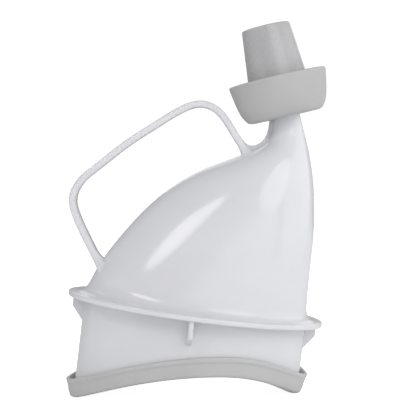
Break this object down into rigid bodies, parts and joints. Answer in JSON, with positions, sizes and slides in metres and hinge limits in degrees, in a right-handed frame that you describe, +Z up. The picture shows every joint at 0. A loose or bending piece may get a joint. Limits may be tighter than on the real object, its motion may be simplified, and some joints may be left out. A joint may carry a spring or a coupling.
{
  "type": "urine bottle funnel",
  "caption": "Portable urinal funnel with a strap handle, splash flange and saddle-shaped grey mouth cuff; its neck carries a pull-off bottle adapter with a bowl-shaped skirt.",
  "frame": {"origin": "on the ground the urinal stands on, below the middle of its bounding box", "axes": "+Z up, +X towards the blunt back of the body, -X towards the sloping spine with the handle; the plane Y = 0 is its mirror plane"},
  "size_m": [0.1683, 0.106, 0.2355],
  "materials": {
    "white_plastic": "glossy, cool white, slightly translucent polypropylene",
    "cuff_rubber": "soft satin light grey",
    "adapter_rubber": "fine matte light grey",
    "sleeve_rubber": "smooth half-gloss grey"
  },
  "bodies": {
    "urinal": {"funnel_shell": "white_plastic", "neck_spout": "white_plastic", "splash_flange": "white_plastic", "gusset_spine": "white_plastic", "gusset_back": "white_plastic", "gusset_front": "white_plastic", "gusset_rear": "white_plastic", "carry_handle": "white_plastic", "mouth_cuff": "cuff_rubber"},
    "adapter": {"adapter_skirt": "adapter_rubber", "adapter_sleeve": "sleeve_rubber"}
  },
  "joints": [
    {"name": "adapter_pull", "type": "slide", "parent": "urinal", "child": "adapter", "axis": [-0.2113, 0, 0.9774], "range_m": [0, 0.06]}
  ]
}
